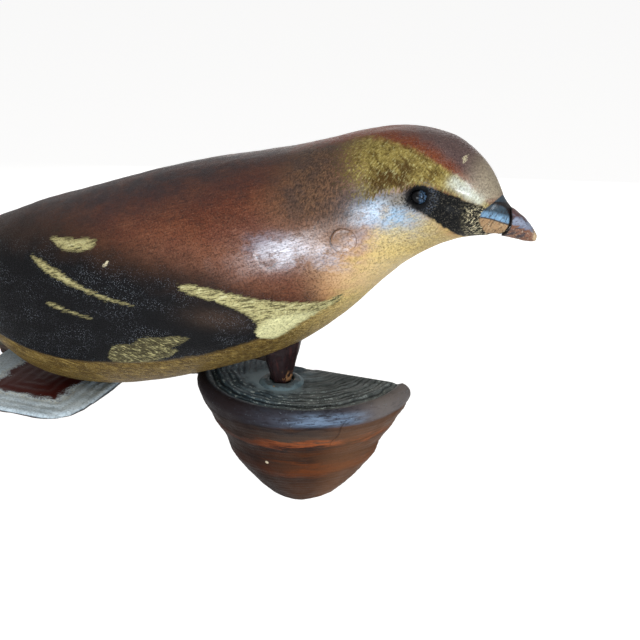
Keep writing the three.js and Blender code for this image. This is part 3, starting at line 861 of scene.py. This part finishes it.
def make_eyes(material):
    """The two beads, a little flattened, low in their hollows."""
    for name, node in (("eye_bead_near", "eye_right"), ("eye_bead_far", "eye_left")):
        low, high = corners(node)
        centre = Vector((low + high) / 2) * MM
        shape = bmesh.new()
        bmesh.ops.create_uvsphere(shape, u_segments=32, v_segments=20, radius=(high[0] - low[0]) / 2 * MM)
        bmesh.ops.scale(shape, verts=shape.verts, vec=BEAD_SHAPE)
        sunk = BEAD_SUNK * MM if centre.y < bird_middle * MM else -BEAD_SUNK * MM
        bmesh.ops.translate(shape, verts=shape.verts, vec=centre + Vector((0, sunk, 0)))
        bead = new_piece(shape, name)
        dress(bead, material)
        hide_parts(node)


# Leg and filler


def leg_finish():
    """Dark red stain that is chipped at the foot."""
    stain = Finish("leg stain", (28, 16, 17), 0.34, 0.25)
    grain = stain.noise((0.8, 0.8, 7), rough=0.65)
    fine = stain.noise(0.7)
    stain.coat((66, 32, 28), (grain, 0.5, 0.7, 0, 0.6))
    stain.coat((14, 10, 12), (stain.noise(3, 3.0, 0.55), 0.5, 0.68, 0, 0.8))
    stain.coat((110, 96, 92), (fine, 0.66, 0.76, 0, 0.5))
    foot = (stain.along("Z"), shelf_top + 5.5, shelf_top + 3)
    ahead = (stain.along("X"), leg_centre[0] + 0.5, leg_centre[0] + 2.5)
    stain.coat((146, 106, 72), foot, ahead, (stain.noise((1, 1, 2.4), 3.0, 0.55), 0.5, 0.58))
    stain.wear((fine, 0.3, 0.7, -0.08, 0.22))
    stain.press(grain, 0.14)
    stain.press(fine, 0.08)
    return stain.done()


def make_leg():
    """The whittled peg."""
    leg, skin = detailed_copy("leg_peg", "whittled_leg", 0.35, 10)
    x, y, z = skin.points.T
    angle = np.arctan2(y - leg_centre[1], x - leg_centre[0])
    cuts = 0.16 * np.cos(7 * angle + 0.06 * z) + 0.12 * np.cos(3 * angle - 0.3 * z)
    skin.raise_by(cuts - 0.2 + 0.12 * wander(skin.points, 3.5, 3))
    skin.stay_in(leg_low, leg_high)
    dress(leg, leg_finish())
    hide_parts("leg_peg")


def filler_finish():
    """Grey-green filler with a few tan chips against the leg."""
    filler = Finish("filler", (104, 122, 128), 0.55, 0.05)
    cloud = filler.noise(3, rough=0.6)
    filler.coat((72, 86, 92), (cloud, 0.46, 0.66, 0, 0.7))
    filler.coat((132, 148, 152), (filler.noise(0.8), 0.56, 0.7, 0, 0.5))
    rim = filler.rise(filler.sum("ADD", "from_leg", (cloud, 0.3, 0.7, -0.6, 0.8)), 1, 0.4)
    filler.coat((64, 66, 66), rim, 0.7)
    filler.coat((156, 126, 94), rim, (filler.noise(1.6, 3.0, 0.55, offset=3.0), 0.6, 0.66))
    filler.press(cloud, 0.2)
    filler.press(filler.noise(0.5, 3.0, 0.55), 0.1)
    return filler.done()


def make_filler():
    """The lumpy ring of filler round the foot of the leg."""
    filler, skin = detailed_copy("foot_filler", "filler_at_foot", 0.3, 8)
    low, high = corners("foot_filler")
    skin.raise_by(0.25 * wander(skin.points, 4, 3) - 0.1)
    skin.stay_in(low, high)
    centre = (low + high) / 2
    reach = np.hypot(skin.points[:, 0] - centre[0], skin.points[:, 1] - centre[1])
    rim = (high[0] - low[0]) / 2
    skin.points[:, 2] -= 0.35 + (high[2] - low[2]) * 0.8 * step(reach, rim - 3, rim)
    skin.write()
    foot = (leg_high - leg_low)[0] / 2
    skin.store(from_leg=reach - 0.72 * foot)
    dress(filler, filler_finish())
    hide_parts("foot_filler")


# Shelf fungus

# Depths below the top where the underside steps in
SHELF_TIERS = (6, 13.6, 20.6, 29, 45)

# Turn of the growth rings in radians a mm, and radii of the two grooves round the top
RING_RATE = 3.7
GROOVES = (28.6, 30.6)

# Colour of the underside at each depth below the top, in mm, and the depth where its last band ends
SHELF_BANDS = [
    (0, (64, 72, 82)), (3, (56, 62, 74)), (5.4, (42, 44, 52)), (6.5, (24, 22, 24)), (8, (54, 46, 42)),
    (11.6, (72, 56, 46)), (13, (138, 74, 42)), (14.2, (92, 50, 32)), (15, (34, 27, 25)), (17.6, (70, 38, 20)),
    (20.6, (44, 29, 22)), (22.6, (92, 49, 26)), (26.6, (90, 47, 24)), (29, (44, 29, 22)), (33, (64, 39, 25)),
    (44, (68, 45, 31)),
]
BANDS_REACH = 45


def shelf_places(skin):
    """Radius, angle and depth of each point as seen from the middle of the shelf's back edge."""
    x, y, z = skin.points.T
    radius = np.hypot(x - shelf_x, shelf_back - y)
    angle = np.degrees(np.arctan2(x - shelf_x, shelf_back - y))
    return radius, angle, shelf_top - z


class ShelfStainAndLight(Finish):
    """Stain in grey-green rings above and red-brown bands below, with painted light and painted shade laid
    in.
    """

    def __init__(self):
        super().__init__("shelf stain and painted light", None, 0.55, 0.03)
        self.fine = self.noise(0.5, rough=0.75)
        self.cloud = self.noise(7, rough=0.6)
        self.smear = self.noise((9, 9, 1.2), rough=0.65, offset=3.0)
        self.bands()
        self.rings()
        self.lip()
        self.sides()
        self.wear((self.cloud, 0.3, 0.7, -0.1, 0.1))
        self.press(self.fine, 0.12)
        self.press(self.noise((6, 6, 0.7), 3.0, 0.55), 0.08)

    def bands(self):
        """Red-brown bands below the lip, with painted light that makes them a little lighter to the right."""
        wavy = self.sum("ADD", "band", (self.smear, 0.25, 0.75, -1.8, 1.8))
        self.colour = self.node("ShaderNodeValToRGB", {0: self.sum("DIVIDE", wavy, BANDS_REACH)})
        stops = self.colour.node.color_ramp.elements
        while len(stops) < len(SHELF_BANDS):
            stops.new(0.5)
        for stop, (place, colour) in zip(stops, SHELF_BANDS):
            stop.position = place / BANDS_REACH
            stop.color = srgb(*colour)
        self.coat((62, 41, 29), (self.noise((14, 14, 4), rough=0.6, offset=2.0), 0.42, 0.6, 0, 0.75))
        self.coat((60, 48, 42), (self.noise((10, 10, 3), rough=0.6, offset=7.0), 0.58, 0.7, 0, 0.35))
        # Painted light: paler towards the right of the underside.
        self.coat((160, 114, 82), ("angle", 20, 54, 0, 0.24))
        self.coat((34, 27, 26), (self.fine, 0.54, 0.68, 0, 0.4))
        self.coat((120, 82, 58), (self.noise(0.6, rough=0.75, offset=5.0), 0.56, 0.7, 0, 0.25))

    def rings(self):
        """Dark growth rings and pale dashes on top, fading to a smooth grey patch round the leg that is
        painted paler to lift the bird's shadow.
        """
        shallow = self.rise("band", 5, 3)
        top = self.both(("radius", 32.5, 30), shallow)
        self.coat(self.blend(("angle", -20, 30), (70, 87, 97), (98, 104, 104)), top)
        self.coat((36, 42, 44), top, (self.cloud, 0.46, 0.66, 0, 0.4))
        uneven = self.sum("ADD", "ring", (self.noise(5, 3.0, 0.55, offset=1.0), 0.2, 0.8, -0.7, 0.7))
        rings = self.sum("SINE", self.sum("MULTIPLY", uneven, RING_RATE))
        smooth = self.rise(self.sum("ADD", "from_leg", (self.cloud, 0.2, 0.8, -4, 4)), 13, 6)
        clear = self.rise(smooth, 0, 1, 1, 0.15)
        self.coat((22, 25, 27), top, ("radius", 8, 20, 0.3, 1), clear, (rings, -0.3, -0.9, 0, 0.65))
        broken = (self.noise(1.9, rough=0.85, offset=6.0), 0.51, 0.58)
        outer = ("radius", 15, 26, 0.12, 0.95)
        self.coat((172, 184, 184), top, clear, (rings, 0.2, 0.8), broken, outer, ("angle", 70, 30, 0.5, 1))
        # Painted light: the smooth patch round the leg is laid paler, most of all next to the leg, against
        # the bird's shadow.
        self.coat((146, 166, 174), top, smooth, (self.cloud, 0.3, 0.7, 0.6, 0.95))
        self.coat((92, 108, 114), top, smooth, (self.fine, 0.5, 0.7, 0, 0.5))
        self.coat((164, 186, 196), top, ("from_leg", 9, 6, 0, 0.7))
        for radius in GROOVES:
            groove = self.sum("ABSOLUTE", self.sum("SUBTRACT", "radius", radius))
            groove = self.both((groove, 0.6, 0.2), shallow, clear, ("angle", 62, 35))
            self.coat((22, 23, 26), groove, (self.fine, 0.4, 0.6, 0.3, 0.9))

    def lip(self):
        """Grey lip, blue towards the front, with painted light that makes it paler at the right, dark strokes
        and painted highlight specks.
        """
        lip = self.both(("radius", 31, 32.2), ("band", 6.4, 4.6))
        self.coat((54, 57, 66), lip, 0.8)
        blue = self.both(("angle", 0, 26), ("angle", 62, 46), ("band", 1, 2.6))
        self.coat((102, 118, 138), lip, blue, (self.smear, 0.4, 0.6, 0.15, 0.95))
        # Painted light: paler at the right of the lip.
        self.coat((116, 108, 104), lip, ("angle", 40, 68, 0, 0.85))
        strokes = (self.noise((3, 3, 0.8), rough=0.8), 0.5, 0.6, 0, 0.75)
        self.coat((38, 37, 42), lip, strokes, ("angle", 60, 34, 0.3, 1))
        # Painted highlights: pale specks on the lip.
        self.coat((150, 164, 176), lip, (self.noise(0.9), 0.62, 0.7, 0, 0.5))

    def sides(self):
        """Painted shade on the left side, faint crack, pale speck and sawn back."""
        outside = self.sum("MAXIMUM", self.sum("SUBTRACT", "radius", 31), "depth")
        # Painted shade: darker on the left side of the shelf.
        self.coat((27, 18, 16), (outside, 0.4, 1.4), ("angle", 20, -22, 0, 0.86))
        self.coat((18, 16, 16), ("crack", 0.4, 0.05, 0, 0.45))
        self.coat((204, 188, 160), ("speck", 0.7, 0.4, 0, 0.85))
        self.coat((140, 104, 74), "sawn", 0.9)
        self.coat((84, 58, 40), "sawn", (self.noise((8, 3, 0.8), 3.0, 0.55), 0.46, 0.6))


def shelf_swell(band):
    """How far the underside swells between its steps, from 0 to 1."""
    swell = np.zeros(len(band))
    for upper, lower in zip(SHELF_TIERS, SHELF_TIERS[1:]):
        share = np.clip((band - upper) / (lower - upper), 0, 1)
        swell = np.maximum(swell, np.sin(np.pi * share ** 0.7) ** 0.8)
    return swell


def make_shelf():
    """The half-round fungus with growth rings on top and stepped bands below."""
    shelf, skin = detailed_copy("shelf_fungus", "bracket_shelf", 0.45, 12)
    x, y, z = skin.points.T
    radius, angle, depth = shelf_places(skin)
    facing_up = skin.normals[:, 2]
    sawn = step(skin.normals[:, 1], 0.75, 0.95)
    wave = wander(skin.points * np.array([1, 1, 0.3]), 17, 2)

    ring = radius + 0.9 * wave
    growth = np.sin(ring * RING_RATE) * 0.09 + np.sin(ring * 1.43 + 0.6) * 0.12
    from_leg = np.hypot(x - leg_centre[0] + 1.5, (y - leg_centre[1]) * 1.1)
    from_leg += 1.8 * wander(skin.points, 9, 2, 4.0)
    on_top = step(facing_up, 0.6, 0.85) * (1 - step(radius, 30.5, 32)) * (1 - sawn)
    on_top *= step(from_leg, 8, 13) * step(shelf_back - y, 0.5, 4)
    height = on_top * (growth + 0.12 * wander(skin.points, 2.2, 3))

    band = depth + 1.3 * wave + 1.1 * np.sin(np.radians(angle * 2.2 + 20))
    under = (1 - step(facing_up, 0.1, 0.5)) * (1 - sawn) * step(depth, 5, 7)
    deep = 0.1 + 0.15 * step(angle, 30, 65)
    height += under * deep * (shelf_swell(band) * 1.1 - 0.55)
    height += under * (0.2 * wander(skin.points, 8, 3, 2.0) + 0.03 * np.sin(band * 4.2))

    crack_way = angle - 40.5 + 0.55 * (depth - 5) - 0.5 * np.sin(depth * 0.9)
    crack = np.abs(crack_way * np.radians(radius)) + 0.4 * step(np.abs(depth - 7.5), 3.5, 8)
    crack += 3 * (1 - step(depth, 1.2, 2.4))
    height -= 0.3 * bump_at(crack, 0.3) * (1 - sawn)
    notch = np.hypot(x - shelf_x - 1, y - shelf_back)
    height -= 0.8 * bump_at(notch, 1.4) * step(facing_up, 0.5, 0.8)
    skin.raise_by(height)
    skin.stay_in(shelf_low, shelf_high)

    radius, angle, depth = shelf_places(skin)
    speck = np.hypot(np.radians(angle + 7) * radius, depth - 22.2)
    skin.store(
        ring=ring, band=band, depth=depth, radius=radius, angle=angle, from_leg=from_leg, crack=crack,
        sawn=sawn, speck=speck,
    )
    dress(shelf, ShelfStainAndLight().done())
    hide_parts("shelf_fungus")


# Side fungus


def side_stain_and_light():
    """Grey-blue margin, painted paler to lift the bird's shadow, round a dark red middle, with a dark edge.
    """
    # Painted light: the margin's pale colours are laid extra pale against the bird's shadow.
    stain = Finish("side stain and painted light", (208, 222, 230), 0.5, 0.08)
    fine = stain.noise(0.7)
    cloud = stain.noise(6, rough=0.6)
    stain.coat((182, 198, 208), (cloud, 0.44, 0.62, 0, 0.8))
    stain.coat((104, 122, 134), (fine, 0.47, 0.6, 0, 0.45))
    stain.coat((186, 198, 202), (stain.noise(0.8, offset=2.0), 0.54, 0.66, 0, 0.6))
    ragged = stain.sum("ADD", "margin", (cloud, 0.2, 0.8, -2, 2))
    ragged = stain.sum("ADD", ragged, (fine, 0.2, 0.8, -1.2, 1.2))
    stain.coat((66, 24, 20), (ragged, 10.6, 13))
    stain.coat((206, 196, 160), (ragged, 9.6, 10.2), (ragged, 11, 10.4), 0.35)
    stain.coat((34, 34, 38), "rim", 0.9)
    stain.coat((70, 52, 44), "below")
    stain.coat((40, 32, 30), "below", (cloud, 0.46, 0.6, 0, 0.8))
    stain.press(fine, 0.12)
    stain.press(cloud, 0.25)
    return stain.done()


def make_side_fungus():
    """The thin fungus under the bird's rear."""
    side, skin = detailed_copy("side_fungus", "bracket_side", 0.55, 6)
    x, y, z = skin.points.T
    margin = np.minimum(np.minimum(x - side_low[0], side_high[0] - x), y - side_low[1])
    sawn = step(skin.normals[:, 1], 0.75, 0.95)
    up = step(skin.normals[:, 2], 0.3, 0.7)
    rings = np.sin(margin * 1.7 + 1.5 * wander(skin.points, 12, 2))
    height = up * (0.14 * rings - 0.15) * step(margin, 1, 4) + 0.14 * wander(skin.points, 5, 3)
    skin.raise_by((1 - sawn) * height)
    skin.stay_in(side_low, side_high)
    facing_up = skin.normals[:, 2]
    skin.store(margin=margin, rim=1 - step(facing_up, 0.35, 0.75), below=1 - step(facing_up, -0.5, -0.2))
    dress(side, side_stain_and_light())
    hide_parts("side_fungus")


# Branch, dowels and hangers


def bark_finish():
    """Dark rough bark, with sawn wood on the back and the ends."""
    bark = Finish("bark", (58, 46, 40), 0.8, 0.2)
    ridge = bark.noise((16, 2.2, 2.2), 5.0, 0.65)
    fine = bark.noise(0.9)
    bark.coat((30, 24, 22), (ridge, 0.52, 0.42, 0, 0.85))
    bark.coat((104, 90, 80), (ridge, 0.56, 0.7, 0, 0.7))
    bark.coat((92, 102, 88), (bark.noise(9, rough=0.6), 0.56, 0.7, 0, 0.6))
    bark.coat((176, 140, 98), "sawn")
    bark.coat((128, 94, 60), "sawn", ("year", 0.2, 0.9, 0, 0.7))
    bark.coat((112, 82, 54), "sawn", (fine, 0.5, 0.7, 0, 0.4))
    bark.press(ridge, 0.35)
    bark.press(fine, 0.2)
    return bark.done()


def make_branch():
    """The half-round branch with bark on its front and its flat side to the wall."""
    branch, skin = detailed_copy("wall_branch", "half_branch", 0.6, 3)
    low, high = corners("wall_branch")
    flat = step(skin.normals[:, 1], 0.7, 0.9)
    ends = step(np.abs(skin.normals[:, 0]), 0.75, 0.92)
    sawn = np.maximum(flat, ends)
    furrows = np.abs(wander(skin.points * np.array([0.22, 1, 1]), 4.2, 3))
    skin.raise_by((1 - sawn) * (0.3 * wander(skin.points, 9, 3) - 0.9 * bump_at(furrows, 0.12) - 0.15))
    skin.stay_in(low, high)
    x, y, z = skin.points.T
    from_pith = np.hypot(y - high[1], (z - (low[2] + high[2]) / 2) * 1.1)
    year = np.sin(from_pith * 4 + 1.5 * wander(skin.points, 8, 2)) * 0.5 + 0.5
    skin.store(sawn=sawn, year=year)
    dress(branch, bark_finish())
    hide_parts("wall_branch")


def dowel_finish():
    """Bare beech with short flecks along the dowel."""
    beech = Finish("dowel beech", (196, 156, 112), 0.55, 0.3)
    grain = beech.noise((0.5, 6, 0.5), rough=0.6)
    beech.coat((150, 108, 70), (grain, 0.46, 0.66, 0, 0.8))
    beech.coat((120, 80, 50), (beech.noise((0.25, 1.6, 0.25), 2.0, 0.55), 0.62, 0.7, 0, 0.7))
    beech.press(grain, 0.06)
    return beech.done()


def steel_finish():
    """Zinc-plated strip, brushed along its length and a little spotted."""
    steel = Finish("zinc steel", (168, 170, 172), 0.32, 0.5)
    steel.shader.inputs["Metallic"].default_value = 1.0
    brushed = steel.noise((9, 0.25, 0.18), rough=0.6)
    steel.coat((128, 130, 132), (brushed, 0.4, 0.65, 0, 0.7))
    steel.coat((108, 88, 66), (steel.noise(1.6), 0.6, 0.74, 0, 0.6))
    steel.wear((brushed, 0.3, 0.7, -0.08, 0.18))
    steel.press(brushed, 0.03)
    return steel.done()


def finish_hardware():
    """Gives the dowels, hangers and nails their wood and metal."""
    beech, steel = dowel_finish(), steel_finish()
    for name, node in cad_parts.items():
        if "dowel" in name or "hanger" in name:
            node.data.materials.clear()
            node.data.materials.append(beech if "dowel" in name else steel)


# Setting

# The photograph's camera, fitted to it
PHOTO_TARGET = (67.37, -30, 28.95)
PHOTO_DISTANCE = 420
PHOTO_LENS = 78.75

# How far the floor lies below the piece
FLOOR_BELOW = 120


def looking_at(name, data, target, azimuth, elevation, distance):
    """A camera or lamp that looks at a point from an angle in degrees and a distance in mm."""
    turn, lift = math.radians(azimuth), math.radians(elevation)
    away = Vector((math.sin(turn) * math.cos(lift), -math.cos(turn) * math.cos(lift), math.sin(lift)))
    thing = bpy.data.objects.new(name, data)
    thing.location = Vector(target) * MM + away * distance * MM
    thing.rotation_euler = away.to_track_quat("Z", "Y").to_euler()
    bpy.context.scene.collection.objects.link(thing)
    return thing


def photo_camera():
    """The camera at the photograph's viewing angle."""
    data = bpy.data.cameras.new("camera")
    data.lens = PHOTO_LENS
    data.sensor_width = 36
    data.clip_start = 0.01
    bpy.context.scene.camera = looking_at("camera", data, PHOTO_TARGET, 22, 22, PHOTO_DISTANCE)


def softbox(name, azimuth, elevation, distance, width, tall, watts, tint):
    """A broad soft lamp that looks at the bird."""
    data = bpy.data.lights.new(name, "AREA")
    data.shape = "RECTANGLE"
    data.size = width * MM
    data.size_y = tall * MM
    data.energy = watts
    data.color = tint
    looking_at(name, data, (60, bird_middle, 40), azimuth, elevation, distance)


def seen_directly(tree):
    """1 for rays from the camera, a mirror or glass, and 0 for light that falls on things."""
    path = tree.nodes.new("ShaderNodeLightPath").outputs
    result = path["Is Camera Ray"]
    for name in ("Is Glossy Ray", "Is Transmission Ray"):
        result = add_node(tree, "ShaderNodeMath", {0: result, 1: path[name]}, operation="MAXIMUM")
    return result


def white_world():
    """Even grey light on the object, in front of a white background."""
    world = bpy.data.worlds.new("studio")
    world.use_nodes = True
    tree = world.node_tree
    light = tree.nodes["Background"]
    feed(tree, light, {"Color": (1.0, 0.98, 0.96, 1.0), "Strength": 0.27})
    white = add_node(tree, "ShaderNodeBackground", {"Color": (1, 1, 1, 1), "Strength": 1.0})
    either = {0: seen_directly(tree), 1: light.outputs[0], 2: white}
    feed(tree, tree.nodes["World Output"], {"Surface": add_node(tree, "ShaderNodeMixShader", either)})
    bpy.context.scene.world = world


def pale_floor():
    """A wide pale floor well below the hanging piece, which still takes its shadow."""
    shape = bmesh.new()
    bmesh.ops.create_grid(shape, x_segments=1, y_segments=1, size=6)
    bmesh.ops.translate(shape, verts=shape.verts, vec=(0, 0, (shelf_low[2] - FLOOR_BELOW) * MM))
    floor = new_piece(shape, "floor")
    material = bpy.data.materials.new("floor")
    material.use_nodes = True
    tree = material.node_tree
    glow = add_node(tree, "ShaderNodeMath", {0: seen_directly(tree), 1: 0.8}, operation="MULTIPLY")
    feed(tree, tree.nodes["Principled BSDF"], {
        "Base Color": (0.5, 0.5, 0.5, 1), "Roughness": 0.9, "Specular IOR Level": 0.0,
        "Emission Color": (1, 1, 1, 1), "Emission Strength": glow,
    })
    floor.data.materials.append(material)


photo_camera()
white_world()
pale_floor()
softbox("front softbox", 0, -8, 600, 330, 290, 3.4, (0.86, 0.93, 1.0))
softbox("right softbox", 56, 4, 600, 110, 200, 1.5, (0.88, 0.94, 1.0))
softbox("top softbox", 20, 60, 900, 600, 600, 3, (1.0, 0.97, 0.92))
softbox("back softbox", 195, 2, 800, 500, 400, 1.7, (1.0, 0.98, 0.96))
paint = BirdPaintAndLight().done()
make_bird(paint)
make_plug(paint)
make_bill_tip(bill_paint_and_sheen())
make_eyes(bead_and_highlight())
make_leg()
make_filler()
make_shelf()
make_side_fungus()
make_branch()
finish_hardware()

bpy.context.scene.view_settings.view_transform = "Standard"
